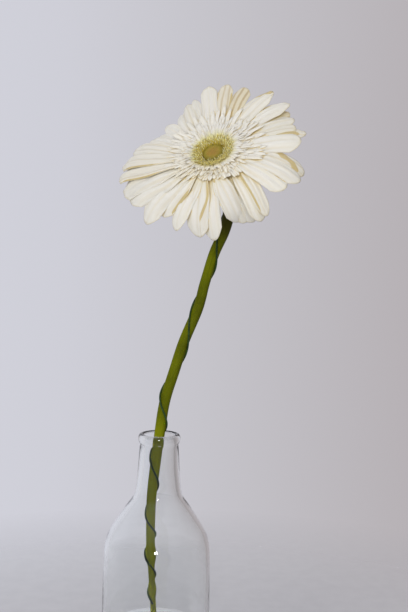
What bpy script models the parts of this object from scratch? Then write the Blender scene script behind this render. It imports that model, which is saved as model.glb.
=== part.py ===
"""One white gerbera standing in a clear glass bottle of water.

Metres, +Z up, the bottle's flat base on z = 0 with its axis on the origin. The flower leans
forward, towards -Y, and a little to the left, towards -X. The head's own frame has its origin
in the middle of the top of the receptacle: x runs to the head's right, y up its slope and z
along the axis of the flower. An azimuth runs anticlockwise round that axis, seen from the front.
"""

import math
import random

import bmesh
import bpy
from mathutils import Matrix, Vector

MM = 0.001

# Bottle, in millimetres: (radius, height) up the inside, over the lip and down the outside
INSIDE_SHOULDER = (
    (32.6, 124), (32.1, 136), (31.2, 143.6), (29.1, 149.4), (26.2, 154.3), (22.3, 160.0),
    (17.3, 167.3), (13.4, 173.0),
)
INSIDE_NECK = ((11.9, 177.6), (11.2, 182), (10.3, 190), (9.9, 200), (9.9, 212.5))
LIP_BEAD = (
    (10.2, 214.0), (10.9, 214.8), (11.9, 215), (12.9, 214.5), (13.55, 213.2), (13.65, 211.6),
    (13.3, 209.8),
)
OUTSIDE_NECK = ((12.9, 208.4), (13.1, 203), (13.7, 192))
OUTSIDE_SHOULDER = (
    (14.5, 181.5), (15.1, 177.2), (16.1, 174.0), (17.7, 171.6), (20.4, 168.0), (24.5, 161.9),
    (28.1, 156.4), (31.3, 150.8), (33.7, 144.4), (34.5, 136.5), (34.8, 124), (35.0, 105),
)
BODY_RADIUS = 35.0
BASE_CORNER = 5.0
INSIDE_RADIUS = 32.6
FLOOR_THICKNESS = 6.0
FLOOR_CORNER = 6.0
BOTTLE_STEPS = 32

# Water
WATER_LEVEL = 85.0
GAP = 0.3
WATER_STEPS = 32

# Head of the flower
HEAD_CENTRE = (30.6, -34.0, 389.0)
HEAD_ELEVATION = 37.0
HEAD_TURN = -25.0
RECEPTACLE = (
    (0, 0), (12.2, 0), (12.2, -0.9), (11.7, -2.6), (10.2, -6.0), (7.6, -9.6), (4.6, -12.0),
    (0, -12.0),
)
RECEPTACLE_STEPS = 24

# Ray petals. The lists hold a value for every 30 degrees of azimuth
PETALS_PER_RING = 17
PETAL_WIDTH = 11.6
PETAL_THICKNESS = 0.7
PETAL_LENGTH = (45, 45, 48, 51, 52, 54, 57, 52, 46, 45, 40, 43)
PETAL_DROOP = (6, 6, 4, -2, 0, 12, 17, 27, 40, 49, 38, 18)
PETAL_SWEEP = (-6, 0, 6, 8, 4, -3, 0, 0, -2, -10, 8, -4)
PETAL_ROWS = 8
LOWER_RING = dict(radius=12.5, height=0.0, start=6.0, drop=3.5, scale=1.0, offset=0.0)
UPPER_RING = dict(radius=12.1, height=1.1, start=12.0, drop=-3.5, scale=0.97, offset=0.5)

# Inner rays: three fused rings of narrow petals, (radius, height) along the middle of one
RAYS_LONG = dict(
    teeth=20, thickness=0.5, phase=0.0, droop_share=0.35,
    path=((11.4, 2.5), (12.7, 2.9), (18.0, 4.6), (25.0, 6.4), (31.0, 7.4), (34.5, 7.5)),
    widths=(2.2, 2.4, 3.4, 4.4, 4.0, 1.2),
)
RAYS_MID = dict(
    teeth=20, thickness=0.5, phase=0.5, droop_share=0.3,
    path=((11.2, 3.5), (12.4, 4.1), (17.0, 6.6), (22.0, 8.8), (26.0, 9.8)),
    widths=(2.2, 2.3, 3.0, 3.2, 1.0),
)
RAYS_SHORT = dict(
    teeth=22, thickness=0.5, phase=0.2, droop_share=0.25,
    path=((11.0, 4.5), (12.1, 5.3), (15.0, 7.9), (17.6, 10.4), (18.8, 11.8)),
    widths=(1.9, 2.0, 2.4, 2.0, 0.8),
)

# Bracts of the calyx
BRACTS_INNER = dict(
    teeth=15, thickness=0.6, phase=0.0, droop_share=0.0,
    path=((5.6, -12.1), (8.25, -10.1), (10.95, -6.4), (12.45, -3.0), (12.9, -1.4)),
    widths=(2.0, 3.1, 4.2, 3.4, 0.9),
)
BRACTS_OUTER = dict(
    teeth=15, thickness=0.6, phase=0.5, droop_share=0.0,
    path=((6.4, -13.1), (9.05, -11.0), (11.3, -8.2), (12.6, -5.8), (13.2, -4.4)),
    widths=(2.2, 3.3, 3.9, 2.8, 0.8),
)

# Disc: a collar of open florets round a low dome of closed ones
COLLAR = (
    (7.1, 5.4), (8.6, 6.9), (11.0, 8.2), (12.8, 8.3), (13.2, 7.4), (10.5, 4.9), (10.4, 3.0),
    (9.8, 0.3), (7.1, 0.3), (7.1, 5.4),
)
COLLAR_STEPS = 32
DOME = ((0, 4.3), (1.6, 4.4), (3.4, 4.6), (5.4, 4.7), (6.7, 4.2), (6.6, 0.3), (0, 0.3))
DOME_STEPS = 24

# Stem: a path through its middle from the neck down to the foot, then (height, radius)
STEM_PATH = (
    (37.0, -20.2, 377.6), (39.0, -15.9, 372.5), (40.2, -12.4, 365.4), (39.9, -8.6, 355.6),
    (37.6, -4.6, 346.0), (33.4, -1.6, 332.0), (26.9, -0.2, 313.0), (20.9, 0.0, 294.0),
    (13.9, -1.0, 275.0), (8.0, -3.0, 256.0), (3.4, -5.0, 237.0), (0.4, -5.9, 217.0),
    (-2.1, -3.6, 192.0), (-3.4, -1.4, 171.0), (-3.7, 1.8, 144.0), (-3.0, 5.4, 116.0),
    (-1.4, 9.2, 85.0), (0.6, 12.9, 50.0), (2.6, 15.6, 14.0), (2.9, 16.1, 6.75),
)
STEM_RADII = (
    (382, 4.3), (375, 3.9), (360, 3.6), (320, 3.3), (256, 3.5), (217, 3.35), (171, 3.0),
    (116, 2.8), (6, 2.8),
)
STEM_BEVEL_RESOLUTION = 3
STEM_STEPS_PER_SPAN = 2

# Florist's wire wound down the stem, anticlockwise as it falls, seen from above
WIRE_RADIUS = 0.7
WIRE_TURN_HEIGHTS = (391, 341, 290, 239, 205, 165, 135, 105, 75)
WIRE_TOP = 366.0
WIRE_FOOT = 101.0
WIRE_GAP = 0.45
WIRE_BEVEL_RESOLUTION = 1
WIRE_POINTS_PER_TURN = 12

MATERIALS = {
    "clear_glass": ((0.90, 0.94, 0.93, 0.35), 0.05),
    "water": ((0.86, 0.92, 0.93, 0.35), 0.05),
    "stem_green": ((0.12, 0.16, 0.02, 1.0), 0.5),
    "wire_green": ((0.02, 0.05, 0.01, 1.0), 0.45),
    "calyx_green": ((0.16, 0.20, 0.05, 1.0), 0.6),
    "petal_white": ((0.80, 0.77, 0.69, 1.0), 0.6),
    "inner_petal_white": ((0.80, 0.76, 0.67, 1.0), 0.6),
    "floret_yellow": ((0.55, 0.45, 0.14, 1.0), 0.6),
    "bud_olive": ((0.30, 0.24, 0.06, 1.0), 0.6),
}


def clear_scene():
    for obj in list(bpy.data.objects):
        bpy.data.objects.remove(obj)


def material(name):
    made = bpy.data.materials.get(name)
    if made:
        return made
    colour, roughness = MATERIALS[name]
    made = bpy.data.materials.new(name)
    made.use_nodes = True
    shader = made.node_tree.nodes["Principled BSDF"]
    shader.inputs["Base Color"].default_value = colour
    shader.inputs["Roughness"].default_value = roughness
    shader.inputs["Alpha"].default_value = colour[3]
    made.diffuse_color = colour
    return made


def collection(name):
    made = bpy.data.collections.get(name)
    if made is None:
        made = bpy.data.collections.new(name)
        bpy.context.scene.collection.children.link(made)
    return made


def add_object(name, data, material_name, parent=None, home="gerbera_in_a_bottle"):
    obj = bpy.data.objects.new(name, data)
    if material_name:
        data.materials.append(material(material_name))
    obj.parent = parent
    collection(home).objects.link(obj)
    return obj


def mesh_from(name, bm):
    mesh = bpy.data.meshes.new(name)
    bm.to_mesh(mesh)
    bm.free()
    mesh.shade_smooth()
    return mesh


def smoothstep(x):
    x = min(1.0, max(0.0, x))
    return x * x * (3 - 2 * x)


def cubic(a, b, c, d, f):
    """Catmull-Rom interpolation from b to c, with a before them and d after."""
    return b + 0.5 * f * (c - a + f * (2 * a - 5 * b + 4 * c - d + f * (3 * (b - c) + d - a)))


def around(values, azimuth):
    """Smooth interpolation of values spaced evenly round a circle, at an angle in radians."""
    place = (azimuth / math.tau) % 1.0 * len(values)
    first = int(place)
    a, b, c, d = (values[(first + k) % len(values)] for k in (-1, 0, 1, 2))
    return cubic(a, b, c, d, place - first)


def along(points, steps):
    """Points on a smooth curve through the given ones, with this many steps to each span."""
    ends = [points[0] * 2 - points[1]] + list(points) + [points[-1] * 2 - points[-2]]
    curve = []
    for i in range(len(points) - 1):
        for k in range(steps):
            curve.append(cubic(*ends[i:i + 4], k / steps))
    return curve + [points[-1]]


def lerp_table(table, x):
    """Linear interpolation in a list of (x, value) pairs with x falling."""
    for (x0, v0), (x1, v1) in zip(table, table[1:]):
        if x >= x1:
            return v0 + (v1 - v0) * min(1.0, (x0 - x) / (x0 - x1))
    return table[-1][1]


def radial(azimuth):
    return Vector((math.cos(azimuth), math.sin(azimuth), 0))


def quarter_circle(middle, radius, turn_from, turn_to, steps=4):
    """(radius, height) points round a middle, between two angles in degrees."""
    angles = [math.radians(turn_from + (turn_to - turn_from) * i / steps) for i in range(steps + 1)]
    return [(middle[0] + radius * math.cos(a), middle[1] + radius * math.sin(a)) for a in angles]


def turned(name, profile, steps, material_name, parent=None):
    """A profile of (radius, height) turned about z. It runs down its outer side."""
    bm = bmesh.new()
    verts = [bm.verts.new((radius * MM, 0, height * MM)) for radius, height in profile]
    for a, b in zip(verts, verts[1:]):
        bm.edges.new((a, b))
    bmesh.ops.remove_doubles(bm, verts=bm.verts, dist=0.000001)
    obj = add_object(name, mesh_from(name, bm), material_name, parent)
    screw = obj.modifiers.new("turned", "SCREW")
    screw.axis = "Z"
    screw.steps = steps
    screw.render_steps = steps
    screw.use_merge_vertices = True
    screw.merge_threshold = 0.00001
    screw.use_smooth_shade = True
    return obj


def tube(name, path, radii, bevel_resolution, material_name):
    """A curve object through points in millimetres, with a radius at each and filled caps."""
    curve = bpy.data.curves.new(name, "CURVE")
    curve.dimensions = "3D"
    curve.bevel_depth = MM
    curve.bevel_resolution = bevel_resolution
    curve.use_fill_caps = True
    spline = curve.splines.new("POLY")
    spline.points.add(len(path) - 1)
    for point, place, radius in zip(spline.points, path, radii):
        point.co = (*(place * MM), 1)
        point.radius = radius
    return add_object(name, curve, material_name)


def as_cutter(tube_object, name):
    """The tube as a closed mesh that Booleans can use, out of the render."""
    graph = bpy.context.evaluated_depsgraph_get()
    mesh = bpy.data.meshes.new_from_object(tube_object.evaluated_get(graph))
    bpy.data.objects.remove(tube_object)
    bm = bmesh.new()
    bm.from_mesh(mesh)
    bmesh.ops.remove_doubles(bm, verts=bm.verts, dist=0.00001)
    bm.to_mesh(mesh)
    bm.free()
    cutter = add_object(name, mesh, None, home="cutters")
    cutter.hide_render = True
    cutter.display_type = "WIRE"
    return cutter


def solidify(obj, thickness):
    shell = obj.modifiers.new("thickness", "SOLIDIFY")
    shell.thickness = thickness * MM
    shell.offset = 0


def make_bottle():
    floor_corner = (INSIDE_RADIUS - FLOOR_CORNER, FLOOR_THICKNESS + FLOOR_CORNER)
    base_corner = (BODY_RADIUS - BASE_CORNER, BASE_CORNER)
    profile = [(0, FLOOR_THICKNESS)]
    profile += quarter_circle(floor_corner, FLOOR_CORNER, -90, 0)
    profile += INSIDE_SHOULDER + INSIDE_NECK + LIP_BEAD + OUTSIDE_NECK + OUTSIDE_SHOULDER
    profile += quarter_circle(base_corner, BASE_CORNER, 0, -90)
    profile.append((0, 0))
    turned("glass_bottle", profile, BOTTLE_STEPS, "clear_glass")


def make_water(stem_path):
    """A body of water 0.3 mm inside the glass, with a channel that clears the stem."""
    wall = INSIDE_RADIUS - GAP
    corner = (INSIDE_RADIUS - FLOOR_CORNER, FLOOR_THICKNESS + FLOOR_CORNER)
    profile = [(0, WATER_LEVEL), (wall, WATER_LEVEL), (wall, WATER_LEVEL / 2)]
    profile += quarter_circle(corner, FLOOR_CORNER - GAP, 0, -90)
    profile.append((0, FLOOR_THICKNESS + GAP))
    water = turned("water", profile, WATER_STEPS, "water")
    under_water = [p for p in stem_path if p.z < WATER_LEVEL + 25]
    under_water.append(under_water[-1] + (under_water[-1] - under_water[-2]).normalized() * 4)
    radii = [lerp_table(STEM_RADII, p.z) + GAP for p in under_water]
    channel = tube("stem_channel_curve", under_water, radii, STEM_BEVEL_RESOLUTION, None)
    cut = water.modifiers.new("room_for_the_stem", "BOOLEAN")
    cut.operation = "DIFFERENCE"
    cut.solver = "EXACT"
    cut.object = as_cutter(channel, "stem_channel")


def wire_turns(height):
    """How many turns the wire has made by this height, from the highest in the table."""
    heights = WIRE_TURN_HEIGHTS
    for i, (high, low) in enumerate(zip(heights, heights[1:])):
        if height >= low:
            return i + (high - height) / (high - low)
    return len(heights) - 1


def make_wire(stem_path):
    """Wound on the stem, and half a turn round it (on its left, at -X) at each listed height."""
    turns = wire_turns(WIRE_FOOT) - wire_turns(WIRE_TOP)
    count = int(turns * WIRE_POINTS_PER_TURN)
    path = []
    for i in range(count + 1):
        height = WIRE_TOP + (WIRE_FOOT - WIRE_TOP) * i / count
        k = next(k for k in range(len(stem_path) - 1) if stem_path[k + 1].z <= height)
        share = (stem_path[k].z - height) / (stem_path[k].z - stem_path[k + 1].z)
        middle = stem_path[k].lerp(stem_path[k + 1], share)
        upward = stem_path[max(k - 1, 0)] - stem_path[min(k + 2, len(stem_path) - 1)]
        upward.normalize()
        right = (Vector((1, 0, 0)) - upward * upward.x).normalized()
        angle = math.pi + math.tau * wire_turns(height)
        outward = right * math.cos(angle) + upward.cross(right) * math.sin(angle)
        reach = lerp_table(STEM_RADII, height) + WIRE_RADIUS + WIRE_GAP
        path.append(middle + outward * reach)
    radii = [WIRE_RADIUS] * len(path)
    tube("support_wire", path, radii, WIRE_BEVEL_RESOLUTION, "wire_green")


def make_head():
    """An empty in the middle of the receptacle's top, with its z along the flower's axis."""
    elevation, turn = math.radians(HEAD_ELEVATION), math.radians(HEAD_TURN)
    axis = Vector((
        math.sin(turn) * math.cos(elevation),
        -math.cos(turn) * math.cos(elevation),
        math.sin(elevation),
    ))
    up_slope = (Vector((0, 0, 1)) - axis * axis.z).normalized()
    right = up_slope.cross(axis)
    head = add_object("head", None, None)
    head.location = Vector(HEAD_CENTRE) * MM
    head.rotation_euler = Matrix((right, up_slope, axis)).transposed().to_euler()
    bpy.context.view_layer.update()
    return head


def petal_half_width(t, width):
    """Half the width of a petal at a share t of its length: a narrow claw, a blunt tip."""
    blunt = math.sqrt(max(0.05, 1 - t ** 5))
    return width / 2 * (0.24 + 0.76 * smoothstep(t / 0.62)) * blunt


def petal_curve(azimuth, ring, length, droop, sweep, steps):
    """The middle of a petal as (share, point, direction) rows in the head's frame.

    It leaves the head at the ring's start elevation and curls over, so that its mean elevation
    is minus the droop. Angles are in degrees, except the azimuth.
    """
    bend = (droop + ring["start"]) / 0.667
    point = radial(azimuth) * ring["radius"] + Vector((0, 0, ring["height"]))
    finer = 8
    rows = []
    for i in range(steps * finer + 1):
        t = i / (steps * finer)
        rise = math.radians(ring["start"] - bend * (1 - (1 - t) ** 2))
        outward = radial(azimuth + math.radians(sweep) * t)
        forward = outward * math.cos(rise) + Vector((0, 0, math.sin(rise)))
        if i % finer == 0:
            rows.append((t, point, forward))
        point = point + forward * (length / (steps * finer))
    return rows


def make_petal(name, azimuth, ring, head, chance):
    """A petal that lies along the umbrella its ring makes, so that neighbours stay parallel.

    It is a flat grid bent into shape and given its thickness. Its own frame has its origin at
    the claw, x outward and z along the flower's axis.
    """
    length_share = ring["scale"] * (1 + chance.uniform(-0.03, 0.03))
    droop_more = ring["drop"] + chance.uniform(-1, 1)
    sweep_more = chance.uniform(-2, 2)
    width = PETAL_WIDTH * (1 + chance.uniform(-0.06, 0.06))
    twist = math.radians(chance.uniform(-3, 3))

    def curve_at(angle):
        return petal_curve(
            angle, ring, around(PETAL_LENGTH, angle) * length_share,
            around(PETAL_DROOP, angle) + droop_more,
            around(PETAL_SWEEP, angle) + sweep_more, PETAL_ROWS,
        )

    claw = radial(azimuth) * ring["radius"] + Vector((0, 0, ring["height"]))
    placing = Matrix.Translation(claw * MM) @ Matrix.Rotation(azimuth, 4, "Z")
    unplace = placing.inverted()
    middles = curve_at(azimuth)
    beside = list(zip(curve_at(azimuth - 0.05), curve_at(azimuth + 0.05)))
    bm = bmesh.new()
    bmesh.ops.create_grid(bm, x_segments=PETAL_ROWS, y_segments=2, size=1)
    for vert in bm.verts:
        row = round((vert.co.x + 1) / 2 * PETAL_ROWS)
        side = vert.co.y
        t, middle, forward = middles[row]
        right, left = beside[row]
        across = left[1] - right[1]
        across = (across - forward * across.dot(forward)).normalized()
        across = Matrix.Rotation(twist * t, 3, forward) @ across
        facing = forward.cross(across)
        half = petal_half_width(t, width)
        lift = half * (0.22 - 0.36 * smoothstep(t))
        vert.co = unplace @ ((middle + across * half * side + facing * lift * abs(side)) * MM)
    petal = add_object(name, mesh_from(name, bm), "petal_white", head)
    petal.location = placing.translation
    petal.rotation_euler = (0, 0, azimuth)
    solidify(petal, PETAL_THICKNESS)


def make_petals(head):
    chance = random.Random(7)
    for layer, ring in (("lower", LOWER_RING), ("upper", UPPER_RING)):
        for i in range(PETALS_PER_RING):
            azimuth = math.tau * (i + ring["offset"]) / PETALS_PER_RING
            make_petal(f"{layer}_petal_{i + 1:02d}", azimuth, ring, head, chance)


def crown_point(crown, column, row):
    """A point of a crown. Each tooth has three columns: its right edge, middle and left edge."""
    tooth, side = divmod(column, 3)
    azimuth = math.tau * (tooth + crown["phase"]) / crown["teeth"]
    radius, height = crown["path"][row]
    if row > 1:
        ring_radius, ring_height = crown["path"][1]
        droop = math.radians(around(PETAL_DROOP, azimuth)) * crown["droop_share"]
        out, up = radius - ring_radius, height - ring_height
        radius = ring_radius + out * math.cos(droop) + up * math.sin(droop)
        height = ring_height + up * math.cos(droop) - out * math.sin(droop)
    angle = azimuth + (side - 1) * crown["widths"][row] / 2 / radius
    return (radial(angle) * radius + Vector((0, 0, height))) * MM


def make_crown(name, crown, material_name, head):
    """A ring of teeth in one piece: a grid, cut between its teeth, bent round and welded."""
    columns, rows = 3 * crown["teeth"], len(crown["path"]) - 1
    bm = bmesh.new()
    bmesh.ops.create_grid(bm, x_segments=columns, y_segments=rows, size=1)
    places = {}
    for vert in bm.verts:
        places[vert] = (
            round((vert.co.x + 1) / 2 * columns), round((vert.co.y + 1) / 2 * rows),
        )
    between = []
    for face in bm.faces:
        column = min(places[vert][0] for vert in face.verts)
        row = min(places[vert][1] for vert in face.verts)
        if column % 3 == 2 and row > 0:
            between.append(face)
    for vert in bm.verts:
        vert.co = crown_point(crown, *places[vert])
    bmesh.ops.delete(bm, geom=between, context="FACES")
    bmesh.ops.remove_doubles(bm, verts=bm.verts, dist=0.000001)
    bmesh.ops.recalc_face_normals(bm, faces=bm.faces)
    solidify(add_object(name, mesh_from(name, bm), material_name, head), crown["thickness"])


def main():
    clear_scene()
    head = make_head()
    neck_end = head.matrix_world @ Vector((0, 0, (RECEPTACLE[-1][1] - GAP) * MM)) / MM
    stem_path = along([neck_end] + [Vector(p) for p in STEM_PATH], STEM_STEPS_PER_SPAN)
    make_bottle()
    radii = [lerp_table(STEM_RADII, p.z) for p in stem_path]
    tube("stem", stem_path, radii, STEM_BEVEL_RESOLUTION, "stem_green")
    make_wire(stem_path)
    make_water(stem_path)
    turned("receptacle", RECEPTACLE, RECEPTACLE_STEPS, "calyx_green", head)
    make_crown("bracts_inner", BRACTS_INNER, "calyx_green", head)
    make_crown("bracts_outer", BRACTS_OUTER, "calyx_green", head)
    make_petals(head)
    make_crown("inner_petals_long", RAYS_LONG, "inner_petal_white", head)
    make_crown("inner_petals_mid", RAYS_MID, "inner_petal_white", head)
    make_crown("inner_petals_short", RAYS_SHORT, "inner_petal_white", head)
    turned("disc_florets_open", COLLAR, COLLAR_STEPS, "floret_yellow", head)
    turned("disc_florets_bud", DOME, DOME_STEPS, "bud_olive", head)


main()
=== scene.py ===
"""Looks of a white gerbera in a clear glass bottle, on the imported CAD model.

Lengths are in millimetres until a mesh is made; meshes, materials, lamps and the camera are in
metres. The head's frame has its origin in the middle of the receptacle's top, x to the head's
right, y up its slope and z along the flower's axis; azimuths run anticlockwise round that axis.
"""

import math
import random

import bmesh
import bpy
from mathutils import Matrix, Vector, noise
from mathutils.bvhtree import BVHTree


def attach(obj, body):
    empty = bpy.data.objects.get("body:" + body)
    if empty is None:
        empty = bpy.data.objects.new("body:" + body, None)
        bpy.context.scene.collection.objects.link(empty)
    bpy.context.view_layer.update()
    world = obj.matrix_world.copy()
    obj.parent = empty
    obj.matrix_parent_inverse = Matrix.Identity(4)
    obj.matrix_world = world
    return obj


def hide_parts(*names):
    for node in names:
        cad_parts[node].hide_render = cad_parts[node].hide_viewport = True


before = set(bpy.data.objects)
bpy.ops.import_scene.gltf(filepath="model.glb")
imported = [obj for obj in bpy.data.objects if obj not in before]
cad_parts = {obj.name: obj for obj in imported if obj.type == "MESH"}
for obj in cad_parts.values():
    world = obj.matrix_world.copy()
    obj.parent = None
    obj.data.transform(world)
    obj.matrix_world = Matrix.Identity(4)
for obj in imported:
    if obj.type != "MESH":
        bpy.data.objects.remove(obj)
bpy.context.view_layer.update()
MM = 0.001
GOLDEN_ANGLE = math.pi * (3 - math.sqrt(5))

# ---------------------------------------------------------------- dimensions

INSIDE_SHOULDER = (
    (32.6, 124), (32.1, 136), (31.2, 143.6), (29.1, 149.4), (26.2, 154.3), (22.3, 160.0),
    (17.3, 167.3), (13.4, 173.0),
)
INSIDE_NECK = ((11.9, 177.6), (11.2, 182), (10.3, 190), (9.9, 200), (9.9, 212.5))
LIP_BEAD = (
    (10.2, 214.0), (10.9, 214.8), (11.9, 215), (12.9, 214.5), (13.55, 213.2), (13.65, 211.6),
    (13.2, 209.7),
)
OUTSIDE_NECK = ((12.5, 208.5), (12.5, 207.2), (12.85, 204), (13.6, 192))
OUTSIDE_SHOULDER = (
    (14.5, 181.5), (15.1, 177.2), (16.1, 174.0), (17.7, 171.6), (20.4, 168.0), (24.5, 161.9),
    (28.1, 156.4), (31.3, 150.8), (33.7, 144.4), (34.5, 136.5), (34.8, 124), (35.0, 105),
)
BODY_RADIUS = 35.0
BASE_CORNER = 5.0
INSIDE_RADIUS = 32.6
FLOOR_THICKNESS = 6.0
FLOOR_CORNER = 6.0
FLOOR_BULGE = ((0, 1.5), (12, 1.1))
BASE_HOLLOW = ((27, 0.1), (24, 1.0), (12, 1.9), (0, 2.1))
BOTTLE_SIDES = 128
CORNER_STEPS = 8
PROFILE_STEPS = 4
WATER_LEVEL = 85.0
# The water goes this far into the glass, so that no film of air shows between them, and rises
# this much at the wall, falling off over this width.
WATER_OVERLAP = 0.25
MENISCUS_HEIGHT = 2.0
MENISCUS_WIDTH = 1.3

HEAD_CENTRE = (30.6, -34.0, 389.0)
HEAD_ELEVATION = 37.0
HEAD_TURN = -25.0
# The disc and the inner rays sit a little to the right of the head's axis and up its slope.
DISC_OFFSET = (0.9, 0.5, 0.0)

PETAL_ROOT_RADIUS = 12.0
PETAL_ROOT_HEIGHT = 0.6
PETAL_THICKNESS = 0.4
PETAL_GRID = (44, 16)
# Each petal's azimuth at its root and at its tip, the tip's reach and height, its width, how
# pointed it is, its roll and its arch in degrees, how far its root is lifted, and its tint: 0 for
# white, up to 1 for cream, and more for cream with dark grooves. The higher tints also paint
# shade: they darken the petals that lie in shade, with painted shade in their grooves.
PETALS = (
    (356, 350.5, 54, -13, 10.8, 0.12, 0, 26, 0.1, 0.0),
    (8, 357, 54, -14, 11.5, 0.14, 0, 28, -0.5, 0.4),
    (15, 17.5, 52.5, -5, 15.0, 0.17, 0, 14, 0.8, 0.0),
    (24, 26.5, 56.5, -7.5, 8.5, 0.10, 0, 18, -0.8, 0.3),
    (32, 31, 52, -4, 11.0, 0.12, 0, 14, 0.3, 0.4),
    (41, 39, 54, -4, 12.0, 0.14, 0, 14, 0.7, 0.2),
    (50, 47.5, 55, -5, 12.0, 0.16, 0, 14, -0.9, 2.0),
    (58, 50, 58, -1, 12.0, 0.20, 0, 12, 0.4, 0.0),
    (71, 64, 58, 3, 13.5, 0.20, 0, 10, 0.5, 0.15),
    (84, 84, 57, 4, 12.0, 0.12, 0, 8, -0.5, 1.7),
    (95, 97, 61, 4, 10.5, 0.14, 0, 8, 0.0, 1.0),
    (106, 108, 60, 6, 11.0, 0.10, 0, 8, 0.7, 0.0),
    (117, 119, 60, 0, 7.0, 0.24, 0, 12, 0.0, 0.0),
    (127, 124, 58, 0, 11.0, 0.16, 0, 12, 0.0, 0.3),
    (137, 131, 59, -5, 11.0, 0.38, 0, 14, 0.0, 0.0),
    (148, 143, 57, -5, 11.5, 0.40, 0, 14, 0.0, 0.0),
    (158, 152, 51, -3, 13.0, 0.36, 0, 14, 0.0, 0.0),
    (168, 160, 52, -1, 12.0, 0.16, 6, 16, 1.0, 0.0),
    (178, 167, 63, -5, 12.0, 0.10, 6, 20, 0.8, 0.3),
    (187, 176.2, 65.5, -7, 17.0, 0.10, 6, 24, 0.6, 0.4),
    (197, 183.5, 64.5, -9, 22.0, 0.12, 4, 24, 0.5, 0.5),
    (210, 196, 63, -10, 18.5, 0.12, -8, 24, 0.2, 0.0),
    (221, 204.5, 59, -10.5, 20.0, 0.20, -12, 24, 0.0, 0.0),
    (232, 224, 55.5, -15.5, 14.5, 0.20, -14, 24, 0.2, 0.0),
    (243, 231.5, 45, -12.5, 13.0, 0.16, -8, 20, 1.4, 0.0),
    (253, 246, 46.5, -17.5, 12.0, 0.30, -6, 22, -1.3, 0.0),
    (264, 263, 43, -23, 14.5, 0.16, 0, 26, 0.7, 0.0),
    (276, 275, 43, -26, 13.0, 0.20, 0, 26, -0.5, 0.0),
    (307, 305, 36.5, -25, 12.5, 0.14, 0, 22, -0.4, 0.3),
    (295, 300, 34.5, -24, 12.0, 0.18, 0, 36, 1.8, 0.0),
    (317, 310.5, 38, -26, 10.0, 0.12, 0, 26, -0.6, 0.0),
    (329, 315.5, 46, -21, 10.0, 0.14, 0, 28, 0.0, 0.2),
    (339, 320, 48, -18, 8.0, 0.16, 0, 26, 0.5, 0.2),
    (346, 340, 50, -10, 14.5, 0.14, 0, 20, 0.9, 0.0),
)
# Petals with a painted ochre band along a long edge, where the real petal's edge is turned over:
# the band paints both the yellower turned edge and the shade along it. Which edge (1 is the
# anticlockwise one), where along the petal the band starts and ends, how far across it runs in by
# its end, and its width as a share of the petal's half width.
EDGE_BANDS = {
    1: (1, 0.54, 0.96, 1.2, 0.85),
    3: (-1, 0.55, 0.92, 0.0, 1.30),
    8: (1, 0.86, 1.20, 0.0, 1.20),
    10: (-1, 0.45, 0.95, 0.0, 0.24),
    13: (-1, 0.40, 0.75, 0.0, 0.20),
    17: (1, 0.40, 0.98, 0.0, 0.10),
    18: (1, 0.35, 0.98, 0.0, 0.12),
    19: (1, 0.30, 0.98, 0.0, 0.12),
    20: (1, 0.26, 0.98, 0.0, 0.08),
    24: (1, 0.32, 0.99, 0.0, 0.24),
    26: (1, 0.10, 0.78, 0.55, 0.26),
    27: (-1, 0.55, 0.95, 0.0, 0.14),
    28: (1, 0.30, 0.92, 0.0, 0.28),
    29: (-1, 0.02, 0.28, 0.0, 0.30),
    32: (-1, 0.12, 1.00, 0.25, 0.32),
}
# How much of the painted ochre shade, where pieces lie close over them, these petals show, where it
# isn't all of it.
PAINTED_SHADE_SHARES = {
    13: 0.4, 14: 0.3, 15: 0.3, 16: 0.3, 17: 0.3, 19: 0.7, 20: 0.35, 21: 0.25, 22: 0.2, 23: 0.3,
}
# Each point's painted shade is what a fan of this many lines, this long, meets from this far over
# it.
COVER_RAYS = 14
COVER_REACH = 7.0
COVER_START = 0.25

RAY_ROOT_RADIUS = 11.3
RAY_THICKNESS = 0.2
RAY_GRID = (12, 4)
# Reach and height of the longest inner rays' tips, every 30 degrees.
RAY_REACH = (31, 31, 33, 35, 36, 33, 29, 27, 23, 19.5, 22, 26)
RAY_HEIGHT = (1.8, 3.2, 5, 5.5, 5.5, 5, 5, 4, 2.6, 1.4, 1.2, 1.4)
# How yellow the inner rays are, every 30 degrees. The highest values, low on the head, also paint
# ochre shade in the rays' grooves, as the shade under them.
RAY_TINT_AND_SHADE = (0.3, 0.2, 0.1, 0.1, 0.2, 0.3, 0.5, 0.8, 1.1, 1.2, 1.0, 0.6)
# The rings of inner rays: node, count, share of the longest reach (measured from RAY_START),
# how far it is raised, the root's height, the widths, the arch and how unevenly the tips lie.
RAY_START = 12.0
RAY_RINGS = (
    ("inner_petals_long", 112, 1.00, 0.0, 1.6, (2.2, 3.3), 7, 0.4),
    ("inner_petals_mid", 116, 0.68, 0.6, 3.1, (1.7, 2.5), 9, 0.5),
    ("inner_petals_short", 124, 0.42, 1.1, 4.8, (1.1, 1.7), 12, 0.8),
)

# The collar of open florets, from its inner radius to its outer one, and the dome of closed ones.
OPEN_FLORETS = 180
OPEN_INNER_RADIUS = 6.9
OPEN_OUTER_RADIUS = 11.7
FLORET_RADIUS = 0.36
FLORET_SIDES = 10
CLOSED_FLORETS = 210
CLOSED_OUTER_RADIUS = 6.3
COLLAR = ((6.6, 0.4), (6.8, 3.8), (7.6, 4.4), (9.0, 5.3), (10.6, 5.7), (11.6, 5.0), (11.0, 0.4))
DOME = ((6.55, 0.35), (6.6, 2.8), (5.6, 3.5), (3.8, 3.8), (1.8, 3.75))

CALYX_CUP = (
    (4.4, -12.3), (5.2, -11.7), (7.6, -9.6), (10.2, -6.0), (11.7, -2.6), (12.2, -0.9),
    (12.0, -0.1), (11.0, 0.15),
)
BRACT_THICKNESS = 0.45
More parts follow.
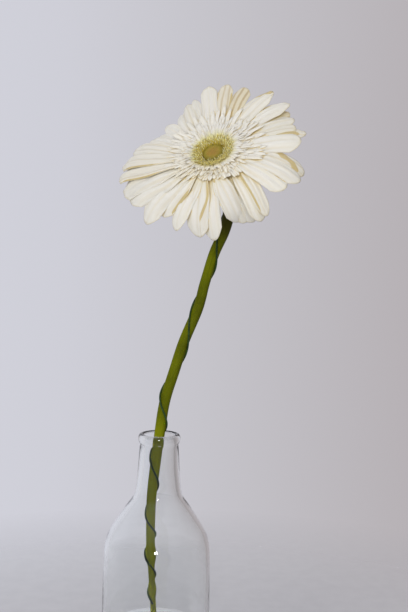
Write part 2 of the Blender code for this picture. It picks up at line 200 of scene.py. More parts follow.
# The rings of bracts: node, count, outline from root to tip, width, and how far it is turned,
# in bracts.
BRACT_RINGS = (
    ("bracts_inner", 18, ((5.3, -12.2), (8.2, -10.0), (10.9, -6.4), (12.4, -3.0), (13.0, -1.2)),
     3.8, 0.0),
    ("bracts_outer", 17, ((5.6, -12.9), (8.7, -10.8), (11.2, -7.8), (12.5, -5.3), (13.3, -3.6)),
     3.6, 0.5),
)

# The stem starts this far down the head's axis, and then goes through these points.
STEM_TOP = -11.0
STEM_PATH = (
    (37.0, -20.2, 377.6), (39.0, -15.9, 372.5), (40.5, -12.4, 365.4), (40.7, -8.6, 355.6),
    (38.4, -4.6, 346.0), (32.5, -1.6, 332.0), (27.0, -0.2, 313.0), (24.7, 0.0, 303.0),
    (22.0, 0.0, 294.0), (14.4, -1.0, 275.0), (8.6, -3.0, 256.0), (3.2, -5.0, 237.0),
    (0.4, -5.9, 217.0), (-2.4, -3.6, 192.0), (-4.3, -1.4, 171.0), (-4.5, 1.8, 144.0),
    (-3.2, 5.4, 116.0), (-1.4, 9.2, 85.0), (0.6, 12.9, 50.0), (2.6, 15.6, 14.0),
    (2.9, 16.1, 6.75),
)
# The stem's radius at each height.
STEM_RADII = (
    (382, 4.3), (375, 3.9), (360, 3.6), (320, 3.3), (256, 3.5), (217, 3.35), (171, 3.0),
    (142, 2.9), (137, 3.5), (132, 3.3), (127, 2.2), (116, 2.1), (112.5, 2.8), (108, 2.6),
    (104, 1.9), (6, 2.1),
)
WIRE_RADIUS = 0.6
WIRE_SINK = 0.1
WIRE_STEPS_PER_TURN = 40
# The heights where the wire crosses the stem's left edge.
WIRE_TURN_HEIGHTS = (401, 349, 297, 241.5, 202, 162.5, 135, 108, 80)
WIRE_TOP = 366.0
WIRE_FOOT = 101.0

# ---------------------------------------------------------------- small helpers


def smoothstep(x):
    x = min(1.0, max(0.0, x))
    return x * x * (3 - 2 * x)


def mix(a, b, f):
    return a + (b - a) * f


def mix3(a, b, f):
    return tuple(mix(x, y, f) for x, y in zip(a, b))


def cubic(a, b, c, d, f):
    """A smooth curve from b to c, as f goes from 0 to 1, with a and d as the points beside them."""
    return b + 0.5 * f * (c - a + f * (2 * a - 5 * b + 4 * c - d + f * (3 * (b - c) + d - a)))


def around(values, azimuth):
    """The value at an azimuth, smoothly between values that are spaced evenly round a circle."""
    place = (azimuth / math.tau) % 1.0 * len(values)
    first = int(place)
    a, b, c, d = (values[(first + k) % len(values)] for k in (-1, 0, 1, 2))
    return cubic(a, b, c, d, place - first)


def along(points, steps):
    """A smooth curve through the points, with this many steps between each two."""
    ends = [points[0] * 2 - points[1]] + list(points) + [points[-1] * 2 - points[-2]]
    curve = []
    for i in range(len(points) - 1):
        for k in range(steps):
            curve.append(cubic(*ends[i:i + 4], k / steps))
    return curve + [points[-1]]


def lerp_table(table, x):
    """The value at x, between rows of (x, value) whose x goes down."""
    for (x0, v0), (x1, v1) in zip(table, table[1:]):
        if x >= x1:
            return v0 + (v1 - v0) * min(1.0, (x0 - x) / (x0 - x1))
    return table[-1][1]


def radial(azimuth):
    return Vector((math.cos(azimuth), math.sin(azimuth), 0))


def quarter_circle(middle, radius, turn_from, turn_to):
    points = []
    for i in range(CORNER_STEPS + 1):
        angle = math.radians(turn_from + (turn_to - turn_from) * i / CORNER_STEPS)
        points.append((middle[0] + radius * math.cos(angle), middle[1] + radius * math.sin(angle)))
    return points


def smooth_profile(points, steps):
    vectors = [Vector((r, z, 0)) for r, z in points]
    return [(p.x, p.y) for p in along(vectors, steps)]


def frame_along(axis):
    """Two directions square to the axis and to each other."""
    side = axis.orthogonal().normalized()
    return side, axis.cross(side)


def ring_round(middle, side, other, radii):
    """A point for each radius, evenly round the middle from side towards other."""
    points = []
    for k, radius in enumerate(radii):
        angle = math.tau * k / len(radii)
        points.append(middle + (side * math.cos(angle) + other * math.sin(angle)) * radius)
    return points


def head_matrix():
    elevation, turn = math.radians(HEAD_ELEVATION), math.radians(HEAD_TURN)
    axis = Vector((
        math.sin(turn) * math.cos(elevation),
        -math.cos(turn) * math.cos(elevation),
        math.sin(elevation),
    ))
    up_slope = (Vector((0, 0, 1)) - axis * axis.z).normalized()
    right = up_slope.cross(axis)
    return Matrix.Translation(HEAD_CENTRE) @ Matrix((right, up_slope, axis)).transposed().to_4x4()


HEAD = head_matrix()
DISC = HEAD @ Matrix.Translation(DISC_OFFSET)

# ---------------------------------------------------------------- meshes

# The most a point's distance from an edge band is said to be, in the band's half widths.
FAR = 9.0


class Surface:
    """Collects vertices, given in millimetres in the placed frame, and faces, with a UV for each
    corner, a tint for each vertex and, for some vertices, a distance from an edge band."""

    def __init__(self, placed=None):
        self.placed = placed
        self.points, self.tints, self.faces, self.uvs, self.slots = [], [], [], [], []
        self.edges = {}

    def add(self, point, tint=0.5):
        point = self.placed @ point if self.placed else point
        self.points.append(point * MM)
        self.tints.append(tint)
        return len(self.points) - 1

    def face(self, corners, uvs, slot=0):
        self.faces.append(corners)
        self.uvs.extend(uvs)
        self.slots.append(slot)

    def grid(self, rows, uv_rows, tint=0.5, ring=False):
        """Faces between rows of points; ring joins each row's ends."""
        index = [[self.add(p, tint) for p in row] for row in rows]
        for i in range(len(rows) - 1):
            count = len(rows[i]) - (0 if ring else 1)
            for j in range(count):
                k = (j + 1) % len(rows[i])
                corners = (index[i][j], index[i + 1][j], index[i + 1][k], index[i][k])
                u0, u1 = uv_rows[i], uv_rows[i + 1]
                v0, v1 = j / count, (j + 1) / count
                self.face(corners, ((u0, v0), (u1, v0), (u1, v1), (u0, v1)))
        return index

    def cap(self, ring, uv=(0.0, 0.5)):
        self.face(tuple(ring), [uv] * len(ring))

    def tube(self, rows, uv_rows, tint=0.5):
        """A grid of rings with a cap on both ends."""
        index = self.grid(rows, uv_rows, tint, ring=True)
        self.cap(index[0][::-1])
        self.cap(index[-1])

    def make(self, name, materials, node_names, thickness=None):
        """Makes a piece. A thickness makes it a shell that goes that far under the surface, with
        the last material on its back."""
        mesh = bpy.data.meshes.new(name)
        mesh.from_pydata(self.points, [], self.faces)
        layer = mesh.uv_layers.new(name="shape")
        for loop, uv in zip(layer.data, self.uvs):
            loop.uv = uv
        tint = mesh.attributes.new("tint", "FLOAT", "POINT")
        tint.data.foreach_set("value", self.tints)
        edge = mesh.attributes.new("edge", "FLOAT", "POINT")
        edge.data.foreach_set("value", [self.edges.get(i, FAR) for i in range(len(self.points))])
        for made in materials:
            mesh.materials.append(made)
        mesh.polygons.foreach_set("material_index", self.slots)
        mesh.shade_smooth()
        obj = bpy.data.objects.new(name, mesh)
        bpy.context.scene.collection.objects.link(obj)
        if thickness:
            shell = obj.modifiers.new("thickness", "SOLIDIFY")
            shell.thickness = thickness * MM
            shell.offset = -1
            shell.material_offset = len(materials) - 1
            shell.material_offset_rim = 0
        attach(obj, "root")
        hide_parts(*node_names)
        return obj


# ---------------------------------------------------------------- materials


class Nodes:
    """Short calls for the nodes of a material or a world."""

    def __init__(self, owner):
        owner.use_nodes = True
        self.nodes = owner.node_tree.nodes
        self.links = owner.node_tree.links

    def plug(self, socket, value):
        if isinstance(value, bpy.types.NodeSocket):
            self.links.new(value, socket)
        else:
            socket.default_value = value

    def node(self, kind, inputs=None, output=0, **settings):
        made = self.nodes.new(kind)
        for key, value in settings.items():
            setattr(made, key, value)
        for key, value in (inputs or {}).items():
            self.plug(made.inputs[key], value)
        return made.outputs[output]

    def math(self, operation, a, b=0.0, c=0.0):
        return self.node("ShaderNodeMath", {0: a, 1: b, 2: c}, operation=operation)

    def ramp(self, value, stops, interpolation="EASE"):
        """Colours at positions; each stop is (position, (r, g, b))."""
        made = self.nodes.new("ShaderNodeValToRGB")
        made.color_ramp.interpolation = interpolation
        elements = made.color_ramp.elements
        while len(elements) < len(stops):
            elements.new(0.5)
        for element, (position, colour) in zip(elements, stops):
            element.position = position
            element.color = (*colour, 1)
        self.plug(made.inputs[0], value)
        return made.outputs[0]

    def span(self, value, low, high, to_low=0.0, to_high=1.0, interpolation="LINEAR"):
        return self.node("ShaderNodeMapRange", {
            "Value": value, "From Min": low, "From Max": high, "To Min": to_low,
            "To Max": to_high,
        }, interpolation_type=interpolation)

    def blend(self, factor, a, b):
        a, b = ((*value, 1) if isinstance(value, tuple) else value for value in (a, b))
        return self.node("ShaderNodeMix", {0: factor, 6: a, 7: b}, output=2, data_type="RGBA")

    def noise(self, vector, scale, detail=3.0, roughness=0.5):
        return self.node("ShaderNodeTexNoise", {
            "Vector": vector, "Scale": scale, "Detail": detail, "Roughness": roughness,
        })

    def split(self, vector):
        made = self.nodes.new("ShaderNodeSeparateXYZ")
        self.plug(made.inputs[0], vector)
        return tuple(made.outputs)

    def join(self, x, y, z=0.0):
        return self.node("ShaderNodeCombineXYZ", {0: x, 1: y, 2: z})

    def place(self):
        """Coordinates on the object, in metres."""
        return self.node("ShaderNodeTexCoord", output=3)

    def shape_uv(self):
        return self.split(self.node("ShaderNodeUVMap", uv_map="shape"))[:2]

    def attribute(self, name):
        return self.node("ShaderNodeAttribute", output=2, attribute_name=name)


class Shader(Nodes):
    """A material with a Principled BSDF, and its even values by name."""

    def __init__(self, name, **values):
        self.material = bpy.data.materials.new(name)
        super().__init__(self.material)
        self.bsdf = self.nodes["Principled BSDF"]
        for key, value in values.items():
            self.set(key.replace("_", " "), value)

    def set(self, socket, value):
        self.plug(self.bsdf.inputs[socket], value)

    def bump(self, height, strength, distance):
        self.set("Normal", self.node("ShaderNodeBump", {
            "Height": height, "Strength": strength, "Distance": distance,
        }))


# Colours painted over the petals' own: ochre painted shade where other pieces lie close over a
# petal; the band of a turned-over edge, its ochre and the shade along it; the rims' ochre; and
# brown painted shade in the grooves of petals that lie in shade.
PAINTED_SHADE_OCHRE = (0.84, 0.66, 0.30)
BAND_OCHRE = (0.64, 0.52, 0.26)
RIM_OCHRE = (0.78, 0.66, 0.38)
VALLEY_SHADE_BROWN = (0.52, 0.41, 0.23)


def petal_material(name, white, base, groove, veins, groove_share, toned=0.5, claw=0.16,
                   tip=(0.86, 0.84, 0.77), scatter=0.0009, painted_shade_share=0.9, rimmed=1.0):
    """White, with the base colour on its claw and the groove colour in lengthwise grooves, as
    many as veins; in the grooves that colour is partly painted shade. Toned says how much of its
    tint shows, which creams it and paints shade in its grooves; the painted-shade share says how
    much of the ochre painted shade shows where other pieces lie close over it; rimmed says how much
    of its rims shows. u runs from claw to tip and v across."""
    s = Shader(name, Subsurface_Weight=0.5, Subsurface_Scale=scatter, Sheen_Weight=0.15,
               Sheen_Roughness=0.5, Specular_IOR_Level=0.3)
    s.set("Subsurface Radius", (1.0, 1.0, 1.0))
    u, v = s.shape_uv()
    tint = s.attribute("tint")
    offset = s.math("MULTIPLY", tint, 37.0)
    drift = s.noise(s.join(s.math("MULTIPLY", u, 3.0), s.math("MULTIPLY", v, 2.0), offset), 1.0)
    across = s.math("MULTIPLY_ADD", drift, 0.12, v)
    stripes = s.math("SINE", s.math("MULTIPLY_ADD", across, math.tau * veins, offset))
    valley = s.span(stripes, -0.2, -1.0)
    fine = s.noise(
        s.join(s.math("MULTIPLY", u, 2.2), s.math("MULTIPLY", across, 34.0), offset), 1.0, 2.0)

    colour = s.ramp(u, (
        (0.0, base), (claw, mix3(base, white, 0.7)), (claw + 0.24, white), (1.0, tip)))
    # The groove colour in the valleys is partly the grooves' cream and partly painted shade, fading
    # towards the tip.
    fading = s.math("MULTIPLY", valley, s.span(u, 0.35, 0.95, 1.0, 0.25))
    colour = s.blend(s.math("MULTIPLY", fading, groove_share), colour, groove)
    colour = s.blend(s.math("MULTIPLY", s.span(fine, 0.35, 0.7), 0.22), colour, groove)
    # The tint creams the petal and paints brown shade in its grooves, strongest on petals that lie
    # in shade.
    colour = s.blend(s.math("MULTIPLY", tint, toned), colour, groove)
    dark = s.math("MULTIPLY", s.math("MULTIPLY", valley, tint), toned)
    colour = s.blend(dark, colour, VALLEY_SHADE_BROWN)
    # Painted shade: ochre where other pieces lie close over the surface.
    painted_shade = s.span(s.attribute("painted_shade"), 0.15, 0.60, 0.0, painted_shade_share)
    colour = s.blend(painted_shade, colour, PAINTED_SHADE_OCHRE)
    beside = s.math("ABSOLUTE", s.math("MULTIPLY_ADD", v, 2.0, -1.0))
    rim = s.math("MAXIMUM", s.span(u, 0.955, 1.0, 0.0, 0.40), s.span(beside, 0.9, 1.0, 0.0, 0.20))
    colour = s.blend(s.math("MULTIPLY", rim, rimmed), colour, RIM_OCHRE)
    # Painted band: the ochre of a turned-over edge and the shade along it.
    band = s.span(s.math("ABSOLUTE", s.attribute("edge")), 1.15, 0.85, 0.0, 0.95)
    s.set("Base Color", s.blend(band, colour, BAND_OCHRE))
    s.set("Roughness", s.span(fine, 0.2, 0.8, 0.44, 0.6))
    height = s.math("MULTIPLY_ADD", fine, 0.6, s.math("MULTIPLY", stripes, 0.25))
    s.bump(height, 0.35, 0.0003)
    return s.material


def floret_material():
    """Open florets: olive at the foot, yellow, and pale at the lobes. u runs up the floret."""
    s = Shader("disc_florets", Roughness=0.5, Subsurface_Weight=0.2, Subsurface_Scale=0.0005,
               Specular_IOR_Level=0.15)
    s.set("Subsurface Radius", (1.0, 0.8, 0.3))
    tint = s.attribute("tint")
    mottle = s.noise(s.place(), 1800.0, 2.0)
    colour = s.ramp(s.shape_uv()[0], (
        (0.0, (0.24, 0.17, 0.02)), (0.35, (0.66, 0.52, 0.09)), (0.60, (1.0, 0.92, 0.44)),
        (0.85, (1.0, 0.98, 0.64)),
    ))
    colour = s.blend(s.span(tint, 0.55, 0.9), colour, (1.0, 0.98, 0.60))
    colour = s.blend(s.span(tint, 0.26, 0.1, 0.0, 0.70), colour, (0.36, 0.28, 0.04))
    colour = s.blend(s.span(mottle, 0.4, 0.75, 0.0, 0.30), colour, (0.40, 0.31, 0.05))
    s.set("Base Color", colour)
    s.bump(mottle, 0.3, 0.0002)
    return s.material


def floret_heart_material():
    s = Shader("floret_hearts", Roughness=0.6)
    spots = s.noise(s.place(), 900.0, 1.0)
    s.set("Base Color", s.ramp(spots, ((0.42, (0.42, 0.30, 0.06)), (0.58, (0.98, 0.88, 0.50)))))
    return s.material


def bud_material():
    """Closed florets: dark olive at the rim of the dome and brown in its middle, by their tint,
    and darker at the foot. u runs up the floret."""
    s = Shader("disc_buds", Roughness=0.45, Subsurface_Weight=0.15, Subsurface_Scale=0.0008)
    mottle = s.noise(s.place(), 1200.0, 2.0)
    colour = s.ramp(s.attribute("tint"), (
        (0.0, (0.62, 0.40, 0.11)), (0.28, (0.61, 0.46, 0.11)), (0.6, (0.50, 0.42, 0.07)),
        (1.0, (0.27, 0.23, 0.025)),
    ))
    colour = s.blend(s.span(mottle, 0.3, 0.7, 0.0, 0.25), colour, (0.54, 0.43, 0.13))
    foot = s.span(s.shape_uv()[0], 0.0, 1.0, 0.45, 0.0)
    s.set("Base Color", s.blend(foot, colour, (0.16, 0.12, 0.015)))
    s.bump(mottle, 0.25, 0.0002)
    return s.material


def green_material(name, light, dark, pale, shaded=None, painted_light_in_bottle=None):
    """Stem and bracts: streaks along u, and pale downy specks. The stem also has painted shade
    under the head, and painted light within the bottle, where it is made brighter and yellower for
    the lamp light that the glass holds back; its u is its length in units of 100 mm."""
    s = Shader(name, Subsurface_Weight=0.1, Subsurface_Scale=0.0012, Specular_IOR_Level=0.06)
    s.set("Subsurface Radius", (0.5, 1.0, 0.15))
    u, v = s.shape_uv()
    patches = s.noise(s.place(), 38.0, 3.0, 0.55)
    streaks = s.noise(s.join(s.math("MULTIPLY", u, 9.0), s.math("MULTIPLY", v, 26.0)), 1.0)
    down = s.noise(s.place(), 2600.0, 1.0)
    colour = s.ramp(patches, ((0.32, dark), (0.62, light)))
    colour = s.blend(s.span(streaks, 0.35, 0.75, 0.0, 0.45), colour, dark)
    colour = s.blend(s.span(down, 0.58, 0.8, 0.0, 0.25), colour, pale)
    # Painted shade: the stem darker under the head, where the head's shadow falls.
    if shaded:
        colour = s.blend(s.ramp(u, ((0.26, (1, 1, 1)), (0.66, (0, 0, 0)))), colour, shaded)
    # Painted light: the stem brighter and yellower within the bottle, for the lamp light the glass
    # holds back.
    if painted_light_in_bottle:
        colour = s.blend(s.span(u, 1.70, 1.90, 0.0, 0.8), colour, painted_light_in_bottle)
    s.set("Base Color", colour)
    s.set("Roughness", s.span(streaks, 0.2, 0.8, 0.45, 0.62))
    s.bump(s.math("MULTIPLY_ADD", down, 0.4, streaks), 0.4, 0.0003)
    return s.material


def wire_material():
    """Dark green paper wound slantwise round a wire."""
    s = Shader("florists_wire", Specular_IOR_Level=0.2)
    u, v = s.shape_uv()
    wraps = s.math("SINE", s.math("MULTIPLY_ADD", u, 900.0, s.math("MULTIPLY", v, math.tau)))
    worn = s.noise(s.place(), 260.0, 3.0)
    colour = s.ramp(worn, ((0.3, (0.012, 0.030, 0.008)), (0.7, (0.035, 0.075, 0.016))))
    s.set("Base Color", s.blend(s.span(wraps, 0.5, 1.0, 0.0, 0.4), colour, (0.07, 0.11, 0.03)))
    s.set("Roughness", s.span(worn, 0.3, 0.7, 0.34, 0.55))
    s.bump(wraps, 0.25, 0.0002)
    return s.material


def glass_material():
    s = Shader("clear_glass", IOR=1.5, Transmission_Weight=1.0)
    s.set("Base Color", (0.98, 0.99, 0.988, 1))
    stretched = s.node("ShaderNodeVectorMath", {0: s.place(), 1: (1, 1, 0.25)},
                       operation="MULTIPLY")
    s.set("Roughness", s.span(s.noise(s.place(), 60.0, 2.0), 0.5, 0.9, 0.0, 0.03))
    s.bump(s.noise(stretched, 26.0, 1.0), 0.10, 0.001)
    return s.material


def water_material():
    s = Shader("water", IOR=1.333, Transmission_Weight=1.0)
    s.set("Base Color", (0.97, 0.99, 0.985, 1))
    s.set("Roughness", s.span(s.noise(s.place(), 40.0, 1.0), 0.4, 0.8, 0.0, 0.012))
    s.bump(s.noise(s.place(), 18.0, 1.0), 0.05, 0.001)
    return s.material


# ---------------------------------------------------------------- turned pieces


def turned(surface, profile, sides, tint=0.5):
    """Turns (radius, height) rows round the axis, from a row on the axis to another on it. Those
    are rings of a micron, so that their caps are true faces."""
    rows = []
    for radius, height in profile:
        ring = [radial(math.tau * i / sides) * max(radius, 0.001) for i in range(sides)]
        rows.append([point + Vector((0, 0, height)) for point in ring])
    surface.tube(rows, [k / (len(profile) - 1) for k in range(len(profile))], tint)


def make_bottle():
    floor_corner = (INSIDE_RADIUS - FLOOR_CORNER, FLOOR_THICKNESS + FLOOR_CORNER)
    base_corner = (BODY_RADIUS - BASE_CORNER, BASE_CORNER)
    curved = INSIDE_SHOULDER + INSIDE_NECK + LIP_BEAD + OUTSIDE_NECK + OUTSIDE_SHOULDER
    profile = [(r, FLOOR_THICKNESS + z) for r, z in FLOOR_BULGE]
    profile += quarter_circle(floor_corner, FLOOR_CORNER, -90, 0)
    profile += [(INSIDE_RADIUS, 40), (INSIDE_RADIUS, 80), (INSIDE_RADIUS, 110)]
    profile += smooth_profile(curved, PROFILE_STEPS)
    profile += [(BODY_RADIUS, 80), (BODY_RADIUS, 40)]
    profile += quarter_circle(base_corner, BASE_CORNER, 0, -90)
    profile += BASE_HOLLOW
    surface = Surface()
    turned(surface, profile, BOTTLE_SIDES)
    surface.make("bottle_glass", [glass_material()], ["glass_bottle"])


def make_water():
    wall = INSIDE_RADIUS + WATER_OVERLAP
    corner = (INSIDE_RADIUS - FLOOR_CORNER, FLOOR_THICKNESS + FLOOR_CORNER)
    profile = [(r, FLOOR_THICKNESS + z - WATER_OVERLAP) for r, z in FLOOR_BULGE]
    profile += quarter_circle(corner, FLOOR_CORNER + WATER_OVERLAP, -90, 0)
    profile += [(wall, 45), (wall, WATER_LEVEL + MENISCUS_HEIGHT)]
    for inward in (0.05, 0.3, 0.7, 1.3, 2.2, 3.6, 6.0):
        rise = MENISCUS_HEIGHT * math.exp(-inward / MENISCUS_WIDTH)
        profile.append((INSIDE_RADIUS - inward, WATER_LEVEL + rise))
    profile += [(18, WATER_LEVEL), (9, WATER_LEVEL), (0, WATER_LEVEL)]
    surface = Surface()
    turned(surface, profile, BOTTLE_SIDES)
    surface.make("bottle_water", [water_material()], ["water"])


# ---------------------------------------------------------------- stem and wire


def stem_curve(steps):
    return along([HEAD @ Vector((0, 0, STEM_TOP))] + [Vector(p) for p in STEM_PATH], steps)


def sweep(surface, path, radius_at, sides):
    """A round rod along the path, with radius_at(step, angle); u is its length in 100 mm."""
    side = Vector((1, 0, 0))
    rows, lengths, run = [], [], 0.0
    for i, middle in enumerate(path):
        tangent = (path[min(i + 1, len(path) - 1)] - path[max(i - 1, 0)]).normalized()
        side = (side - tangent * side.dot(tangent)).normalized()
        if i:
            run += (middle - path[i - 1]).length
        radii = [radius_at(i, math.tau * k / sides) for k in range(sides)]
        rows.append(ring_round(middle, side, tangent.cross(side), radii)[::-1])
        lengths.append(run / 100)
    surface.tube(rows, lengths)


def make_stem():
    path = stem_curve(14)

    def radius_at(i, angle):
        height = path[i].z
        ribs = 0.07 * math.cos(7 * angle + 0.6 * math.sin(height * 0.02))
        lumps = 0.16 * noise.noise(Vector((height * 0.03, math.cos(angle), math.sin(angle))))
        return lerp_table(STEM_RADII, height) + ribs + lumps

    surface = Surface()
    sweep(surface, path, radius_at, 28)
    green = green_material("stem_green", (0.145, 0.165, 0.002), (0.072, 0.082, 0.002),
                           (0.24, 0.26, 0.015), shaded=(0.046, 0.042, 0.005),
                           painted_light_in_bottle=(0.33, 0.355, 0.006))
    surface.make("flower_stem", [green], ["stem"])


def wire_turns(height):
    """How many turns the wire has made at a height."""
    heights = WIRE_TURN_HEIGHTS
    for i, (high, low) in enumerate(zip(heights, heights[1:])):
        if height >= low:
            return i + (high - height) / (high - low)
    return len(heights) - 1


def make_wire():
    stem_path = stem_curve(8)
    count = int((wire_turns(WIRE_FOOT) - wire_turns(WIRE_TOP)) * WIRE_STEPS_PER_TURN)
    path = []
    for i in range(count + 1):
        height = WIRE_TOP + (WIRE_FOOT - WIRE_TOP) * i / count
        k = next(k for k in range(len(stem_path) - 1) if stem_path[k + 1].z <= height)
        share = (stem_path[k].z - height) / (stem_path[k].z - stem_path[k + 1].z)
        middle = stem_path[k].lerp(stem_path[k + 1], share)
        upward = stem_path[max(k - 1, 0)] - stem_path[min(k + 2, len(stem_path) - 1)]
        upward.normalize()
        right = (Vector((1, 0, 0)) - upward * upward.x).normalized()
        angle = math.pi + math.tau * wire_turns(height)
        outward = right * math.cos(angle) + upward.cross(right) * math.sin(angle)
        away = lerp_table(STEM_RADII, height) + WIRE_RADIUS - WIRE_SINK
        path.append(middle + outward * away)
    surface = Surface()
    sweep(surface, path, lambda i, angle: WIRE_RADIUS, 12)
    surface.make("wound_wire", [wire_material()], ["support_wire"])


# ---------------------------------------------------------------- petals


def heading(azimuth, elevation):
    return radial(azimuth) * math.cos(elevation) + Vector((0, 0, math.sin(elevation)))


class Arc:
    """A petal's middle line in the head's frame: a cubic from root to tip. It starts out along
    the root's azimuth, above the straight line to the tip, and is bowed up by arch."""

    ROOT_TURN, TIP_TURN = 0.9, -0.5
    ROOT_BOW, TIP_BOW = 1.1, -1.5
    ROOT_PULL, TIP_PULL = 0.38, 0.36

    def __init__(self, root_azimuth, root, tip, arch):
        chord = tip - root
        length = chord.length
        rise = math.asin(chord.z / length)
        bow = math.radians(arch)
        self.azimuth = math.atan2(chord.y, chord.x)
        self.turn = (root_azimuth - self.azimuth + math.pi) % math.tau - math.pi
        leaving = heading(self.azimuth + self.turn * self.ROOT_TURN, rise + bow * self.ROOT_BOW)
        landing = heading(self.azimuth + self.turn * self.TIP_TURN, rise + bow * self.TIP_BOW)
        self.ends = (
            root, root + leaving * length * self.ROOT_PULL,
            tip - landing * length * self.TIP_PULL, tip,
        )

    def at(self, t):
        """The point at t, the direction there, and the direction across the petal."""
        a, b, c, d = self.ends
        s = 1 - t
        point = a * s ** 3 + b * (3 * s * s * t) + c * (3 * s * t * t) + d * t ** 3
        forward = (b - a) * (s * s) + (c - b) * (2 * s * t) + (d - c) * (t * t)
        forward.normalize()
        turn = self.turn * mix(self.ROOT_TURN, self.TIP_TURN, t)
        across = radial(self.azimuth + turn + math.pi / 2)
        across = (across - forward * across.dot(forward)).normalized()
        return point, forward, across


def lay_blade(surface, shape, size, tint):
    """Adds a petal. shape(t, v) gives a point, for t from claw to tip and v across, -1 to 1, and
    size is its number of rows and columns."""
    rows, columns = size
    points = [
        [shape(i / rows, 2 * j / columns - 1) for j in range(columns + 1)]
        for i in range(rows + 1)
    ]
    return surface.grid(points, [i / rows for i in range(rows + 1)], tint)


def blade_shape(arc, width, claw, point, roll, profile):
    """shape(t, v) of a petal as wide as the claw's share of its width at the root and full from
    the middle on. profile(t, v) is its height over its middle line, with its half width as the
    unit."""

    def shape(t, v):
        middle, forward, across = arc.at(t * (1 - point * abs(v) ** 2.2))
        across = Matrix.Rotation(roll(t), 3, forward) @ across
        half = width / 2 * (claw + (1 - claw) * smoothstep(t * 2))
        return middle + across * half * v + forward.cross(across) * half * profile(t, v)

    return shape


def petal_shape(row, chance):
    """shape(t, v) of an outer petal: channelled at its claw, arched over from there on, with
    lengthwise ridges that fade at both ends."""
    root_azimuth, tip_azimuth, reach, height, width, point, roll, arch, lift = row
    start, end = math.radians(root_azimuth), math.radians(tip_azimuth)
    root = radial(start) * PETAL_ROOT_RADIUS + Vector((0, 0, PETAL_ROOT_HEIGHT + lift))
    arc = Arc(start, root, radial(end) * reach + Vector((0, 0, height)), arch)
    grooves = chance.choice((2.5, 3, 3.5))
    depth = chance.uniform(0.04, 0.075)
    phase = chance.uniform(0, math.tau)
    seed = chance.uniform(0, 100)
    bias = chance.uniform(-0.06, 0.06)
    twist = math.radians(chance.uniform(-5, 5))

    def profile(t, v):
        channel = (0.22 - 0.48 * smoothstep(t * 1.3)) * abs(v) ** 1.8
        ridge = depth * math.cos(math.pi * grooves * (v + 1) + phase)
        ridge *= (0.4 + 0.6 * smoothstep(t * 3)) * (1 - 0.6 * smoothstep(t * 5 - 4))
        wave = 0.20 * t * noise.noise(Vector((t * 2.0, v * 0.8, seed)))
        return channel + ridge + wave + bias * t * v

    def turn(t):
        return math.radians(roll) * smoothstep(t * 2) + twist * t

    return blade_shape(arc, width, 0.34, point, turn, profile)


def mark_band(surface, index, side, start, end, inward, width):
    """Gives a petal's points their distance from the middle of its edge band, in the band's half
    widths. The band opens over its first quarter and closes over its last sixth."""
    for i, row in enumerate(index):
        t = i / (len(index) - 1)
        share = (t - start) / (end - start)
        open_by = min(smoothstep(share * 4), smoothstep((1 - share) * 6))
        half = max(0.01, width / 2 * open_by)
        middle = 1 - width / 2 - inward * smoothstep(share * 1.6 - 0.6)
        for j, vertex in enumerate(row):
            across = side * (2 * j / (len(row) - 1) - 1)
            surface.edges[vertex] = max(-FAR, min(FAR, (across - middle) / half))


def make_petals():
    """The outer petals, from the upper and the lower ring in turn, with their shares of painted
    shade.
    """
    face = petal_material("petal_white", (0.875, 0.855, 0.80), (0.80, 0.74, 0.50),
                          (0.76, 0.68, 0.50), 3.0, 0.55)
    back = petal_material("petal_back", (0.80, 0.74, 0.56), (0.60, 0.58, 0.28),
                          (0.72, 0.62, 0.36), 3.0, 0.5, painted_shade_share=0.45)
    chance = random.Random(7)
    made = []
    for k, (*row, tint_and_shade) in enumerate(PETALS):
        layer, number = ("lower", (k + 1) // 2) if k % 2 else ("upper", k // 2 or 17)
        name = f"{layer}_petal_{number:02d}"
        surface = Surface(HEAD)
        index = lay_blade(surface, petal_shape(row, chance), PETAL_GRID, tint_and_shade)
        if k in EDGE_BANDS:
            mark_band(surface, index, *EDGE_BANDS[k])
        blade = surface.make(name + "_blade", [face, back], [name],
                             PETAL_THICKNESS)
        made.append((blade, PAINTED_SHADE_SHARES.get(k, 1.0)))
    return made


def ray_shape(azimuth, reach, height, root_height, width, arch, chance):
    """shape(t, v) of a narrow inner ray, channelled or arched over, with a point."""
    radius = RAY_ROOT_RADIUS + chance.uniform(-0.3, 0.4)
    root = radial(azimuth) * radius + Vector((0, 0, root_height))
    end = azimuth + math.radians(chance.uniform(-4, 4))
    arc = Arc(azimuth, root, radial(end) * reach + Vector((0, 0, height)), arch)
    twist = math.radians(chance.uniform(-7, 7))
    cup = chance.uniform(-0.18, 0.10)
    seed = chance.uniform(0, 100)
    point = chance.uniform(0.16, 0.34)

    def profile(t, v):
        return cup * v * v + 0.25 * t * noise.noise(Vector((t * 2.5, v * 0.5, seed)))

    return blade_shape(arc, width, 0.45, point, lambda t: twist * t, profile)


def ray_material(name, base, **values):
    white = (0.97, 0.94, 0.88)
    return petal_material(name, white, base, (0.84, 0.77, 0.58), 2.0, 0.25, toned=0.35,
                          tip=(0.97, 0.94, 0.87), scatter=0.0005, painted_shade_share=0.45, rimmed=0.3,
                          **values)


